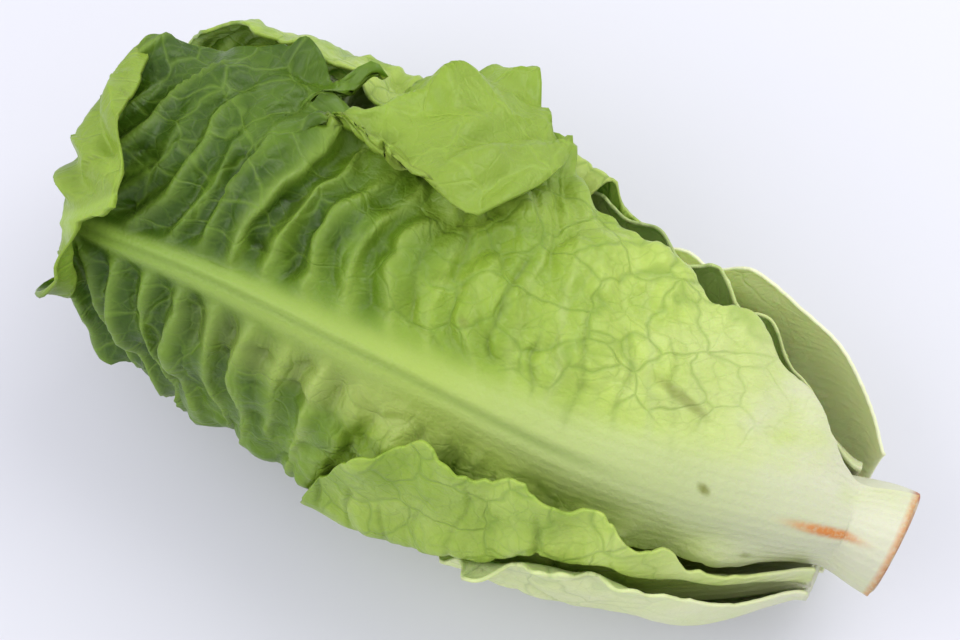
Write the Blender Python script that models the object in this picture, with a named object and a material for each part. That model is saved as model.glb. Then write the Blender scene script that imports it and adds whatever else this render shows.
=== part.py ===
"""A romaine heart that lies on its side, with each leaf and the cut stem as an object of its own.

Places on the head are given as s, the distance in millimetres from the cut face towards the tips, and as an
angle round the head's axis, in degrees: 0 is up, 90 is the back (+Y) and -90 is the front. Each leaf is a thin
closed sheet that lies on what is inside it. The rib of the lowest leaf is flat where it carries the head.
"""

import math

import bpy
import numpy as np

# Driving dimensions, in millimetres
LENGTH = 205.0
BUTT_RADIUS = 12.6
STEM_LENGTH = 42.0
BLADE = 0.8
GAP = 1.0
EASE = 13.0
BASE_EASE = 14.0
MARGIN = 16.0
SEAT_BEND = 2.0
RIDGE_RUN = 10.0
RIDGE_DROP = 4.0
FLOOR_EASE = 0.5
SQUASH = 0.16
SQUASH_SPREAD = math.radians(45)
SLANT = ((0, 0.7), (60, 0.4), (110, 0.15), (150, -0.2), (180, -0.5), (LENGTH, -0.6))
METRE = 0.001

# The height of the head's axis over the floor, and the radius that turns an arc across a leaf into an angle
AXIS_HEIGHT = ((0, 35), (30, 39), (60, 43.6), (90, 45.8), (120, 46), (160, 45.4), (LENGTH, 44))
AXIS_SIDE = ((0, 0), (30, -2), (70, -5), (120, -5), (LENGTH, -4))
GIRTH = ((0, 14), (12, 18), (30, 27), (50, 35), (80, 42), (120, 45), (160, 44), (LENGTH, 38))
STEM_RADIUS = ((0, BUTT_RADIUS), (5, 12.2), (12, 10.6), (22, 7.6), (32, 4.6), (STEM_LENGTH, 1.6))
# The radius at which the leaves just inside the ones that show lie
BODY_SEAT = ((0, 0), (47, 26), (70, 31), (100, 34), (137, 35), (160, 33), (180, 30), (LENGTH, 23))
BUD_RADIUS = ((0, 0.6), (STEM_LENGTH, 2.2), (60, 5), (100, 8), (140, 8.5), (175, 6), (LENGTH, 4))

# The golden angle, at which leaves follow each other round a stem
GOLDEN_ANGLE = 137.5
INNER_LEAVES = 5
INNER_SEAT = ((0, 0), (45, 0), (70, 0.7), (110, 1), (160, 0.9), (LENGTH, 0.6))


def through(points, place):
    """A smooth curve through (place, value) points, level past both ends."""
    places, values = np.array(points, float).T
    slopes = np.gradient(values, places)
    place = np.clip(place, places[0], places[-1])
    at = np.clip(np.searchsorted(places, place, side="right") - 1, 0, len(places) - 2)
    step = places[at + 1] - places[at]
    t = (place - places[at]) / step
    low = (1 + 2 * t) * (1 - t) ** 2 * values[at] + t * (1 - t) ** 2 * step * slopes[at]
    high = t * t * (3 - 2 * t) * values[at + 1] - t * t * (1 - t) * step * slopes[at + 1]
    return low + high


def eased(value):
    """0 below 0, 1 above 1, and a smooth step between."""
    value = np.clip(value, 0, 1)
    return value * value * (3 - 2 * value)


def core_radius(s):
    """The stem, and past its end the bud's hollow."""
    return np.where(s < STEM_LENGTH, through(STEM_RADIUS, s) + GAP / 2, through(BUD_RADIUS, s))


class Fold:
    """A fold across a leaf, from a point towards another, that turns what is to its right outwards.

    It fades in over a length before its first point, and its line bows back by the square of the arc. Rows of a
    leaf from a place on aren't folded."""

    def __init__(self, point, towards, radius, turn, fade=0.01, bow=0.0, until=LENGTH * 2):
        self.point = np.array(point, float)
        self.fade = fade
        self.until = until
        self.bow = bow
        run = np.array(towards, float) - self.point
        self.run = run / np.hypot(*run)
        self.side = np.array((self.run[1], -self.run[0]))
        self.radius = radius
        self.turn = math.radians(turn)

    def apply(self, row, s, across):
        """The place after the fold, and how far it stands out."""
        s = s + self.bow * across**2
        along = (s - self.point[0]) * self.run[0] + (across - self.point[1]) * self.run[1]
        past = (s - self.point[0]) * self.side[0] + (across - self.point[1]) * self.side[1]
        turn = self.turn * eased(1 + along / self.fade) * (row < self.until)
        angle = np.clip(past / self.radius, 0, turn)
        rest = np.maximum(past - turn * self.radius, 0)
        flat = np.where(past > 0, self.radius * np.sin(angle) + rest * np.cos(turn), past)
        out = np.where(past > 0, self.radius * (1 - np.cos(angle)) + rest * np.sin(turn), 0)
        s = self.point[0] + along * self.run[0] + flat * self.side[0]
        across = self.point[1] + along * self.run[1] + flat * self.side[1]
        return s - self.bow * across**2, across, out


class Leaf:
    """One leaf. Its widths are arcs from its midrib, upper towards greater angles, lower towards smaller ones."""

    def __init__(self, name, span, midrib, upper, lower, colour, **more):
        self.name = name
        self.start, self.end = span
        self.midrib = midrib
        self.widths = {1: upper, -1: lower}
        self.colour = colour
        self.tip = more.get("tip", 30.0)
        self.girth = more.get("girth", 1.0)
        self.seat = more.get("seat", ((0, 0), (LENGTH, 0)))
        self.rib = more.get("rib", ((0, 4.0), (60, 3.0), (120, 1.8), (LENGTH, 0.6)))
        self.rib_width = more.get("rib_width", ((0, 8.0), (60, 7.0), (120, 4.5), (LENGTH, 2.5)))
        self.rib_power = more.get("rib_power", 2)
        self.crinkle = more.get("crinkle", 2.0)
        self.spacing = more.get("spacing", 21.0)
        self.phase = more.get("phase", 0.0)
        self.flare = more.get("flare", {1: 2.0, -1: 2.0})
        self.wave = more.get("wave", 2.0)
        self.wave_length = more.get("wave_length", 24.0)
        self.jag = more.get("jag", 1.5)
        self.folds = more.get("folds", ())
        self.ridge = more.get("ridge")
        self.lean = more.get("lean")
        self.lean_from = more.get("lean_from", 0.0)
        self.grid = more.get("grid", (22, 12))

    def leaned(self, row, across):
        """The place along the head of a point of a row, whose outer part leans to the tip or the butt."""
        if not self.lean:
            return row + 0 * across
        return row + through(self.lean, row) * np.maximum(across - self.lean_from, 0)

    def tip_part(self, s):
        """0 up to the round tip, and 1 at the leaf's end."""
        return np.maximum((s - self.end + self.tip) / self.tip, 0)

    def full_width(self, s, side):
        jag = self.jag * np.sin(2 * math.pi * s / 17 + 2.1 * side + self.phase) * eased((s - 20) / 40)
        return through(self.widths[side], s) + jag

    def width(self, s, side):
        """The half width on one side, drawn in to a round tip."""
        return self.full_width(s, side) * np.sqrt(np.maximum(1 - self.tip_part(s) ** 2, 0.004))

    def columns(self, count):
        """Places across the leaf from -1 to 1, about even in arc, with one on the midrib."""
        halfway = (self.start + self.end) / 2
        low, high = self.full_width(halfway, -1), self.full_width(halfway, 1)
        below = round(count * low / (low + high))
        return np.concatenate([np.linspace(-1, 0, below + 1), np.linspace(0, 1, count - below + 1)[1:]])

    def middle(self, s):
        return np.radians(through(self.midrib, s))

    def turn_radius(self, s):
        return through(GIRTH, s) * self.girth

    def arc(self, s, angle):
        """The arc from the midrib to an angle round the head."""
        turn = (angle - self.middle(s) + math.pi) % (2 * math.pi) - math.pi
        return turn * self.turn_radius(s)

    def clipped(self, s, across):
        return np.clip(across, -self.width(s, -1), self.width(s, 1))

    def seated(self, s, radius):
        """The radius at which the leaf lies: on what is inside it, or at its own seat if that is further."""
        more = through(self.seat, s) - radius
        return radius + 0.5 * (more + np.hypot(more, SEAT_BEND))

    def rise(self, s, across, waved=True):
        """How far the margin stands out. Unwaved, it is the height that no wave of the margin passes."""
        out = np.zeros_like(s)
        for side in (1, -1):
            edge = eased((side * across - self.width(s, side) + MARGIN) / MARGIN) ** 2
            turn = 2 * math.pi * s / self.wave_length + side + self.phase
            swing = 0.5 + 0.5 * np.sin(turn) if waved else 1.0
            fade = eased((s - self.start) / 40) * eased((self.end - s) / 30)
            out = out + edge * (self.flare[side] + self.wave * swing) * fade
        if self.ridge:
            out = out + self.ridge_height(s, across)
        return out

    def ridge_height(self, s, across):
        """A ridge across the leaf, steep on its side towards the butt, along which the blade buckles."""
        line, height = self.ridge
        past = s - through(line, across)
        return through(height, across) * np.exp(-((past / np.where(past > 0, RIDGE_RUN, RIDGE_DROP)) ** 2))

    def thickness(self, s, across, spread=1.0):
        """The blade with its rib, which stands out of the outer face."""
        width = through(self.rib_width, s) * spread + (spread - 1) * 4
        return BLADE + through(self.rib, s) * np.exp(-(np.abs(across / width) ** self.rib_power))

    def wrinkle(self, s, across):
        """The pleats between the side veins, from 0 to the leaf's crinkle."""
        away = np.abs(across)
        lean = s - through(SLANT, s) * away
        pleat = 0.5 - 0.5 * np.cos(2 * math.pi * lean / self.spacing + np.sign(across) + self.phase)
        cross = 0.6 + 0.4 * np.cos(2 * math.pi * away / 23 + self.phase)
        return self.crinkle * pleat * cross * eased((away - 4) / 14) * eased((s - 30) / 60)

    def cover(self, s, angle):
        """1 where the leaf lies, and 0 at EASE past its margin."""
        across = self.arc(s, angle)
        side = np.where(across > 0, self.full_width(s, 1), self.full_width(s, -1))
        tip_part = self.tip_part(s)
        share = np.hypot(across / side, tip_part)
        past = np.hypot(across, tip_part * self.tip) * (1 - 1 / np.maximum(share, 0.01))
        return (1 - eased(past / EASE)) * (1 - eased((self.start - s) / BASE_EASE))


def inner_leaves():
    """The heart's own leaves, each wider and longer than the one inside it."""
    leaves = []
    for k in range(INNER_LEAVES):
        reach = 16 + 17 * k
        depth = 7 + 4.5 * k
        leaf = Leaf(
            f"inner_leaf_{k + 1}",
            (37 - 3.4 * k, 158 + 9 * k),
            ((0, 40 + GOLDEN_ANGLE * k), (LENGTH, 40 + GOLDEN_ANGLE * k)),
            ((0, 6), (60, 0.6 * reach), (100, reach * 0.9), (LENGTH, reach)),
            ((0, 6), (60, 0.6 * reach), (100, reach * 0.9), (LENGTH, reach)),
            (0.72, 0.78, 0.38, 1),
            girth=0.25 + 0.13 * k,
            seat=tuple((place, share * depth) for place, share in INNER_SEAT),
            rib=((0, 1.8), (60, 1.6), (120, 1.0), (LENGTH, 0.3)),
            rib_width=((0, 5.0), (120, 3.0), (LENGTH, 2.0)),
            crinkle=1.4,
            phase=1.3 * k,
            flare={1: 0.0, -1: 0.0},
            wave=1.0,
            jag=0.8,
            grid=(18, 10),
        )
        leaves.append(leaf)
    return leaves


def outer_leaves():
    """The leaves that show, from the inside out."""
    under = Leaf(
        "under_leaf",
        (20, 196),
        ((0, 185), (LENGTH, 185)),
        ((0, 9), (30, 20), (60, 42), (110, 58), (LENGTH, 56)),
        ((0, 9), (30, 20), (60, 42), (110, 58), (LENGTH, 56)),
        (0.50, 0.62, 0.20, 1),
        seat=BODY_SEAT,
        phase=0.4,
        flare={1: 0.5, -1: 0.5},
        grid=(20, 12),
    )
    back = Leaf(
        "back_leaf",
        (14, 178),
        ((0, 104), (60, 114), (LENGTH, 114)),
        ((0, 10), (30, 26), (60, 40), (110, 46), (LENGTH, 44)),
        ((0, 10), (13, 12), (30, 24), (60, 38), (100, 42), (LENGTH, 40)),
        (0.50, 0.64, 0.22, 1),
        seat=BODY_SEAT,
        phase=2.2,
        flare={1: 0.5, -1: 4.5},
        wave=3.0,
        wave_length=15.0,
        grid=(26, 14),
    )
    top = Leaf(
        "top_leaf",
        (0.8, 215),
        ((0, -30), (46, -36), (120, -37), (160, -40), (190, -48), (LENGTH, -52)),
        (
            ((0, 17), (16, 19), (35, 37), (65, 51), (92, 62), (112, 77), (122, 88), (130, 88), (136, 84))
            + ((141.4, 76), (146.7, 60), (151.9, 50), (158, 62), (165, 57), (173, 60), (182, 58), (192, 51), (215, 34))
        ),
        (
            ((0, 15), (28, 16), (48, 18), (65, 21), (80, 32), (100, 46), (135, 56), (160, 54))
            + ((178, 43), (188, 29), (196, 12), (204, 3), (215, 2))
        ),
        (0.34, 0.52, 0.13, 1),
        tip=20.0,
        seat=((0, 0), (30, 22), (47, 30), (70, 36), (100, 40), (137, 41), (160, 40), (180, 37), (LENGTH, 31)),
        rib=((0, 1.5), (16, 4.6), (40, 5.0), (90, 4.0), (140, 2.6), (LENGTH, 0.8)),
        rib_width=((0, 9.0), (45, 10.0), (100, 6.0), (150, 4.0), (LENGTH, 2.0)),
        crinkle=3.2,
        phase=0.0,
        flare={1: 1.0, -1: 0.5},
        wave=3.0,
        ridge=(
            ((7, 152), (20, 151), (30, 151), (38, 147), (45, 140)),
            ((4, 0), (14, 3), (34, 6), (43, 4), (52, 0)),
        ),
        lean=(
            ((100, 0), (122, 0.42), (130, 0.62), (136, 0.8), (141.4, 1.1), (146.7, 1.6))
            + ((151.9, 0), (158, -0.8), (170, -0.4), (185, -0.1), (200, 0))
        ),
        lean_from=42.0,
        folds=(
            Fold((140, 43), (122, 86), 3.4, 176, fade=6, until=149),
            Fold((185, -8), (198, 40), 3.6, 152, fade=12, bow=0.004),
        ),
        grid=(40, 24),
    )
    tip = Leaf(
        "tip_leaf",
        (40, 203),
        ((0, 110), (LENGTH, 104)),
        ((0, 12), (80, 36), (120, 42), (LENGTH, 36)),
        ((0, 12), (80, 26), (100, 42), (120, 53), (145, 52), (LENGTH, 38)),
        (0.30, 0.50, 0.12, 1),
        seat=((0, 0), (47, 30), (80, 35), (130, 40), (160, 44), (180, 41), (LENGTH, 28)),
        phase=1.0,
        flare={1: 0.5, -1: 0.0},
        wave=1.0,
        wave_length=30.0,
        grid=(26, 14),
    )
    front = Leaf(
        "front_leaf",
        (14, 122),
        ((0, -112), (LENGTH, -108)),
        ((0, 10), (30, 22), (60, 42), (90, 46), (99, 47), (107, 38), (LENGTH, 34)),
        ((0, 10), (30, 22), (60, 36), (100, 44), (LENGTH, 36)),
        (0.42, 0.58, 0.14, 1),
        seat=((0, 0), (30, 24), (47, 33), (80, 39), (130, 41), (LENGTH, 36)),
        phase=2.9,
        flare={1: 1.0, -1: 0.5},
        wave=2.5,
        wave_length=19.0,
        tip=16.0,
        grid=(22, 16),
    )
    lower_front = Leaf(
        "lower_front_leaf",
        (13, 152),
        ((0, -134), (40, -146), (LENGTH, -148)),
        ((0, 12), (14, 18), (30, 33), (60, 54), (78, 50), (94, 26), (LENGTH, 18)),
        ((0, 12), (30, 22), (60, 30), (110, 32), (LENGTH, 30)),
        (0.60, 0.70, 0.36, 1),
        seat=((0, 12), (13, 15), (18, 22), (30, 34), (50, 39), (80, 41), (130, 41), (LENGTH, 37)),
        phase=0.9,
        crinkle=1.4,
        flare={1: 0.6, -1: 0.5},
        wave=1.5,
    )
    lower_back = Leaf(
        "lower_back_leaf",
        (11, 146),
        ((0, 160), (30, 172), (LENGTH, 174)),
        ((0, 12), (30, 14), (LENGTH, 14)),
        ((0, 14), (14, 30), (30, 50), (50, 62), (80, 56), (LENGTH, 46)),
        (0.64, 0.74, 0.42, 1),
        seat=((0, 12), (11, 16), (16, 22), (27, 31), (47, 38), (70, 41), (100, 42), (137, 42), (LENGTH, 37)),
        rib=((0, 4.5), (60, 4.0), (130, 3.4), (LENGTH, 2.0)),
        rib_width=((0, 9.0), (60, 10.0), (130, 10.0), (LENGTH, 6.0)),
        rib_power=4,
        phase=1.7,
        crinkle=1.2,
        flare={1: 0.5, -1: 1.0},
        wave=1.2,
        grid=(26, 14),
    )
    return [under, back, tip, top, front, lower_front, lower_back]


LEAVES = inner_leaves() + outer_leaves()


def radius_under(order, s, angle):
    """The radius of what lies inside the leaf at this place in the order."""
    radius = core_radius(s)
    for leaf in LEAVES[:order]:
        across = leaf.clipped(s, leaf.arc(s, angle))
        crinkle = leaf.crinkle * eased((s - 20) / 60)
        depth = leaf.rise(s, across, waved=False) + crinkle + leaf.thickness(s, across, 1.3) + GAP
        radius = radius + leaf.cover(s, angle) * (leaf.seated(s, radius) + depth - radius)
    return radius


def on_floor(height):
    """Heights under the floor come up to it, with a soft bend just above it."""
    bent = (height + FLOOR_EASE) ** 2 / (4 * FLOOR_EASE)
    return np.where(height > FLOOR_EASE, height, np.where(height < -FLOOR_EASE, 0, bent))


def head_points(s, angle, radius):
    """Points in millimetres from a place along the head, an angle round it and a radius.

    The head's own weight flattens it underneath."""
    turn = (angle % (2 * math.pi) - math.pi) / SQUASH_SPREAD
    radius = radius * (1 - SQUASH * np.exp(-(turn**2)))
    x = LENGTH / 2 - s
    y = through(AXIS_SIDE, s) + radius * np.sin(angle)
    z = through(AXIS_HEIGHT, s) + radius * np.cos(angle)
    return np.stack([x, y, z], axis=-1)


def leaf_sheet(order, rows, columns):
    """The leaf's inner face as a grid of points, with its thickness at each."""
    leaf = LEAVES[order]
    run = np.linspace(0, 1, rows + 1)[:, None]
    row = leaf.start + (leaf.end - leaf.start) * (1 - (1 - run) ** 1.15)
    part = leaf.columns(columns)[None, :]
    across = np.where(part > 0, part * leaf.width(row, 1), part * leaf.width(row, -1))
    s = leaf.leaned(row, across)
    thickness = leaf.thickness(s, across)
    wrinkle = leaf.wrinkle(s, across)
    stand = leaf.rise(s, across)
    out = np.zeros_like(s)
    for fold in leaf.folds:
        s, across, more = fold.apply(row, s, across)
        out = out + more
    angle = leaf.middle(s) + across / leaf.turn_radius(s)
    radius = leaf.seated(s, radius_under(order, s, angle)) + stand + wrinkle + out
    return head_points(s, angle, radius), thickness


def grid_normals(points):
    """Unit normals of a grid of points, out of the head on its unfolded part."""
    along = np.gradient(points, axis=0)
    over = np.gradient(points, axis=1)
    normal = np.cross(over, along)
    return normal / np.linalg.norm(normal, axis=-1, keepdims=True)


def closed_sheet(inner, outer):
    """Vertices and triangles of the closed solid between two grids, split alike on both faces."""
    rows, columns = inner.shape[:2]
    count = rows * columns
    index = np.arange(count).reshape(rows, columns)
    a, b = index[:-1, :-1].ravel(), index[1:, :-1].ravel()
    c, d = index[1:, 1:].ravel(), index[:-1, 1:].ravel()
    face = np.concatenate([np.stack([a, b, c], 1), np.stack([a, c, d], 1)])
    rim = np.concatenate([index[0, :-1], index[:-1, -1], index[-1, :0:-1], index[:0:-1, 0]])
    after = np.roll(rim, -1)
    near = np.stack([rim, after, after + count], 1)
    far = np.stack([rim, after + count, rim + count], 1)
    side = np.concatenate([near, far])
    faces = np.concatenate([face, face[:, ::-1] + count, side])
    return np.concatenate([inner.reshape(-1, 3), outer.reshape(-1, 3)]), faces


def material(name, colour, roughness):
    made = bpy.data.materials.new(name)
    made.use_nodes = True
    shader = made.node_tree.nodes["Principled BSDF"]
    shader.inputs["Base Color"].default_value = colour
    shader.inputs["Roughness"].default_value = roughness
    shader.inputs["Metallic"].default_value = 0.0
    return made


def add_object(name, points, faces, finish):
    mesh = bpy.data.meshes.new(name)
    mesh.from_pydata((points * METRE).tolist(), [], faces.tolist())
    mesh.materials.append(finish)
    mesh.shade_smooth()
    made = bpy.data.objects.new(name, mesh)
    bpy.context.collection.objects.link(made)
    return made


def add_leaf(order):
    leaf = LEAVES[order]
    inner, thickness = leaf_sheet(order, *leaf.grid)
    outer = inner + grid_normals(inner) * thickness[..., None]
    points, faces = closed_sheet(inner, outer)
    points[:, 2] = on_floor(points[:, 2])
    return add_object(leaf.name, points, faces, material(leaf.name, leaf.colour, 0.45))


def add_stem():
    """The butt: a blunt cone with a flat cut face."""
    sides = 24
    places = np.array([0.0, 1.0, 5.0, 10.0, 16.0, 22.0, 30.0, 37.0, STEM_LENGTH])
    angle = np.linspace(0, 2 * math.pi, sides, endpoint=False)
    radius = through(STEM_RADIUS, places)
    radius[0] -= 0.5
    s = np.repeat(places[:, None], sides, axis=1)
    rings = head_points(s, angle[None, :] + 0 * s, radius[:, None] + 0 * s)
    ends = [head_points(np.array(place), np.array(0.0), np.array(0.0)) for place in (places[0], places[-1])]
    points = np.concatenate([rings.reshape(-1, 3), ends])
    first, last = len(points) - 2, len(points) - 1
    faces = []
    for ring in range(len(places) - 1):
        for side in range(sides):
            a, b = ring * sides + side, ring * sides + (side + 1) % sides
            faces.append((a, b, b + sides))
            faces.append((a, b + sides, a + sides))
    top = (len(places) - 1) * sides
    for side in range(sides):
        faces.append((first, (side + 1) % sides, side))
        faces.append((last, top + side, top + (side + 1) % sides))
    return add_object("stem", points, np.array(faces), material("stem", (0.78, 0.80, 0.62, 1), 0.5))


def centre(objects):
    """Moves the meshes so that the middle of the whole's box is over the origin."""
    points = [np.array([v.co for v in made.data.vertices]) for made in objects]
    low = np.min([p.min(axis=0) for p in points], axis=0)
    high = np.max([p.max(axis=0) for p in points], axis=0)
    middle = (low + high) / 2
    for made, own in zip(objects, points):
        own[:, :2] -= middle[:2]
        made.data.vertices.foreach_set("co", own.astype(np.float32).ravel())


def main():
    for old in list(bpy.data.objects):
        bpy.data.objects.remove(old)
    objects = [add_leaf(order) for order in range(len(LEAVES))]
    objects.append(add_stem())
    centre(objects)


main()
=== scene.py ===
"""The looks of a romaine heart: every leaf again on a fine grid, with its veins, blisters and torn edges.

Places on the head are given as s, the distance in millimetres from the cut face towards the tips, and as an
angle round the head's axis, in degrees: 0 is up, 90 is the back (+Y) and -90 is the front.
"""

import math

import bpy
import numpy as np
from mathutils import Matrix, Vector

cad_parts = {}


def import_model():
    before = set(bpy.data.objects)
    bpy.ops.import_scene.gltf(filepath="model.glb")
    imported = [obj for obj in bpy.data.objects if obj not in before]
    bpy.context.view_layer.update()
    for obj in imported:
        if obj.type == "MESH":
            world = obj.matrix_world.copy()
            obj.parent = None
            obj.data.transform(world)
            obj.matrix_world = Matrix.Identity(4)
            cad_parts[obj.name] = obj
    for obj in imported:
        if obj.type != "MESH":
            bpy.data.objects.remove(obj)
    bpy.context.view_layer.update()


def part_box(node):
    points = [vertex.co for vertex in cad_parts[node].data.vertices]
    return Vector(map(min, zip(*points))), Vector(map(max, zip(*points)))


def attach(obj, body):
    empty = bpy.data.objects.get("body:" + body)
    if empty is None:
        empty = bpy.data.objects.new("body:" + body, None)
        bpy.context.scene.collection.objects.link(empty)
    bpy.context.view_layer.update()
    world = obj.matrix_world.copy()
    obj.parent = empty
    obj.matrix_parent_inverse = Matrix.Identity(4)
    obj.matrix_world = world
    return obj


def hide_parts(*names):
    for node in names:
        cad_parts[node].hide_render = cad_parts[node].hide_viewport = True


# The head's own form, in millimetres, as its solids have it
LENGTH = 205.0
BUTT_RADIUS = 12.6
STEM_LENGTH = 42.0
BLADE = 0.8
GAP = 1.0
EASE = 13.0
BASE_EASE = 14.0
MARGIN = 16.0
SEAT_BEND = 2.0
RIDGE_RUN = 10.0
RIDGE_DROP = 4.0
FLOOR_EASE = 0.5
SQUASH = 0.16
SQUASH_SPREAD = math.radians(45)
SLANT = ((0, 0.7), (60, 0.4), (110, 0.15), (150, -0.2), (180, -0.5), (LENGTH, -0.6))
METRE = 0.001

# The height of the head's axis over the floor, and the radius that turns an arc across a leaf into an angle
AXIS_HEIGHT = ((0, 35), (30, 39), (60, 43.6), (90, 45.8), (120, 46), (160, 45.4), (LENGTH, 44))
AXIS_SIDE = ((0, 0), (30, -2), (70, -5), (120, -5), (LENGTH, -4))
GIRTH = ((0, 14), (12, 18), (30, 27), (50, 35), (80, 42), (120, 45), (160, 44), (LENGTH, 38))
STEM_RADIUS = ((0, BUTT_RADIUS), (5, 12.2), (12, 10.6), (22, 7.6), (32, 4.6), (STEM_LENGTH, 1.6))
# The radius at which the leaves just inside the ones that show lie
BODY_SEAT = ((0, 0), (47, 26), (70, 31), (100, 34), (137, 35), (160, 33), (180, 30), (LENGTH, 23))
BUD_RADIUS = ((0, 0.6), (STEM_LENGTH, 2.2), (60, 5), (100, 8), (140, 8.5), (175, 6), (LENGTH, 4))

# The golden angle, at which leaves follow each other round a stem
GOLDEN_ANGLE = 137.5
INNER_LEAVES = 5
INNER_SEAT = ((0, 0), (45, 0), (70, 0.7), (110, 1), (160, 0.9), (LENGTH, 0.6))

# The fineness of the grids: rows crowd towards the tips by this power
ROW_CROWDING = 1.15
STEM_SIDES = 96
STEM_RINGS = 42
CUT_RINGS = 6

# The fine relief, in millimetres
JAG_LENGTH = 17
TOOTH_LENGTH = 5
NICK_GAP = 9
VEIN_GAP = 9.5
PLEAT_LENGTH = 23
PUCKER_FROM = 105.0
PUCKER_RUN = 35
CREASE_WIDTH = 0.75
RIB_GROOVE_WIDTH = 1.1

# Marks on the top leaf, each by its middle s and across, slope, half length, half width and strength
RUST_MARKS = (
    (17.5, 0.6, 0.02, 9.5, 1.4, 1.0),
    (66, -20, -0.06, 5.0, 1.0, 0.45),
    (71, -17.5, -0.1, 3.0, 0.9, 0.35),
)
BRUISES = (
    (55, 20, 0.36, 6.5, 1.4, 0.6),
    (45, 3, 0.3, 1.2, 1.0, 0.9),
    (78, -14, 0.2, 1.4, 0.9, 0.7),
    (30, -12, 0.1, 1.2, 0.9, 0.5),
    (100, 16, 0.1, 1.2, 1.1, 0.5),
)
# The rusty rim of the top leaf's cut end, and the browned depth of the stem
RIM_DEPTH = 1.2
RIM_STRENGTH = 0.8
CUT_FROM = 0.6
CUT_DEPTH = 2.2
# The light band beside the midrib: its strength at each s, its middle across and its half width
BAND = ((0, 0), (45, 0.1), (80, 0.5), (110, 0.7), (130, 0.45), (150, 0.15), (165, 0), (LENGTH, 0))
BAND_MIDDLE = -11.5
BAND_WIDTH = 6.5

# Colours of the blade from its pale base to its dark tip, and of the midrib along the head
BLADE_COLOURS = (
    (0.0, (0.60, 0.61, 0.42)),
    (0.15, (0.53, 0.61, 0.23)),
    (0.35, (0.43, 0.55, 0.11)),
    (0.55, (0.25, 0.37, 0.038)),
    (0.75, (0.11, 0.20, 0.010)),
    (1.0, (0.038, 0.085, 0.004)),
)
RIB_COLOURS = (
    (0.0, (0.62, 0.62, 0.47)),
    (0.08, (0.56, 0.57, 0.40)),
    (0.25, (0.42, 0.48, 0.22)),
    (0.5, (0.37, 0.48, 0.10)),
    (0.8, (0.28, 0.41, 0.07)),
    (1.0, (0.22, 0.35, 0.04)),
)
# Painted shade along the thin vein furrows
FURROW_SHADE_COLOUR = (0.17, 0.28, 0.03)
# Painted shade in the low borders between the blisters
NET_SHADE_COLOUR = (0.13, 0.22, 0.025)
# Painted shade in the bottoms of the creases and of the groove along the midrib
CREASE_SHADE_COLOUR = (0.12, 0.20, 0.02)
TURNED_COLOUR = (0.40, 0.55, 0.07)
# The lower leaves' own pale tone, made lighter still as painted light that stands in for light through the
# leaves and lifts their shade
PALE_AND_LIT_COLOUR = (0.88, 0.91, 0.60)
BAND_COLOUR = (0.50, 0.57, 0.17)
RUST_COLOUR = (0.58, 0.21, 0.045)
BRUISE_COLOUR = (0.17, 0.19, 0.03)
STEM_COLOUR = (0.60, 0.61, 0.44)
CUT_COLOUR = (0.36, 0.11, 0.025)
FLOOR_COLOUR = (0.66, 0.66, 0.71)

# The vein net's coarse and fine cells, in millimetres, and the width of their borders as a share of a cell
COARSE_CELL = 12.0
COARSE_LINE = 0.05
FINE_CELL = 4.2
FINE_LINE = 0.09

# The camera of the photo
CAMERA_AZIMUTH = math.radians(-28.5)
CAMERA_ELEVATION = math.radians(68)
CAMERA_DISTANCE = 0.40
CAMERA_LENS = 65.8
CAMERA_TARGET = (-0.0033, 0.0035, 0.0462)

# The studio, with each light's name, place and size in metres, and its power
FLOOR_SIZE = 4
WORLD_COLOUR = (0.93, 0.94, 1.0)
WORLD_STRENGTH = 0.93
LIGHTS = (
    ("key", (0.3, 0.6, 0.9), 0.7, 5.2),
    ("fill", (-0.6, -0.6, 0.9), 0.9, 5.6),
)


def through(points, place):
    """A smooth curve through (place, value) points, level past both ends."""
    places, values = np.array(points, float).T
    slopes = np.gradient(values, places)
    place = np.clip(place, places[0], places[-1])
    at = np.clip(np.searchsorted(places, place, side="right") - 1, 0, len(places) - 2)
    step = places[at + 1] - places[at]
    t = (place - places[at]) / step
    low = (1 + 2 * t) * (1 - t) ** 2 * values[at] + t * (1 - t) ** 2 * step * slopes[at]
    high = t * t * (3 - 2 * t) * values[at + 1] - t * t * (1 - t) * step * slopes[at + 1]
    return low + high


def eased(value):
    """0 below 0, 1 above 1, and a smooth step between."""
    value = np.clip(value, 0, 1)
    return value * value * (3 - 2 * value)


class Grain:
    """Random cells and swells over a plane, the same on each run."""

    SIZE = 64

    def __init__(self, seed):
        self.values = np.random.default_rng(seed).random((self.SIZE, self.SIZE, 3))

    def at(self, i, j):
        return self.values[i.astype(int) % self.SIZE, j.astype(int) % self.SIZE]

    def cells(self, u, v):
        """How far it is to the border between unit cells, and a number for the cell."""
        i, j = np.floor(u), np.floor(v)
        best = np.full_like(u, 9.0)
        second = np.full_like(u, 9.0)
        number = np.zeros_like(u)
        for di in (-1, 0, 1):
            for dj in (-1, 0, 1):
                value = self.at(i + di, j + dj)
                seed_u = i + di + 0.1 + 0.8 * value[..., 0]
                seed_v = j + dj + 0.1 + 0.8 * value[..., 1]
                far = np.hypot(seed_u - u, seed_v - v)
                closer = far < best
                second = np.where(closer, best, np.minimum(second, far))
                number = np.where(closer, value[..., 2], number)
                best = np.minimum(best, far)
        return second - best, number

    def swell(self, u, v):
        """A smooth random height from 0 to 1, with about one rise to each unit."""
        i, j = np.floor(u), np.floor(v)
        a, b = eased(u - i), eased(v - j)
        low = self.at(i, j)[..., 0] * (1 - a) + self.at(i + 1, j)[..., 0] * a
        high = self.at(i, j + 1)[..., 0] * (1 - a) + self.at(i + 1, j + 1)[..., 0] * a
        return low * (1 - b) + high * b


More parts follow.
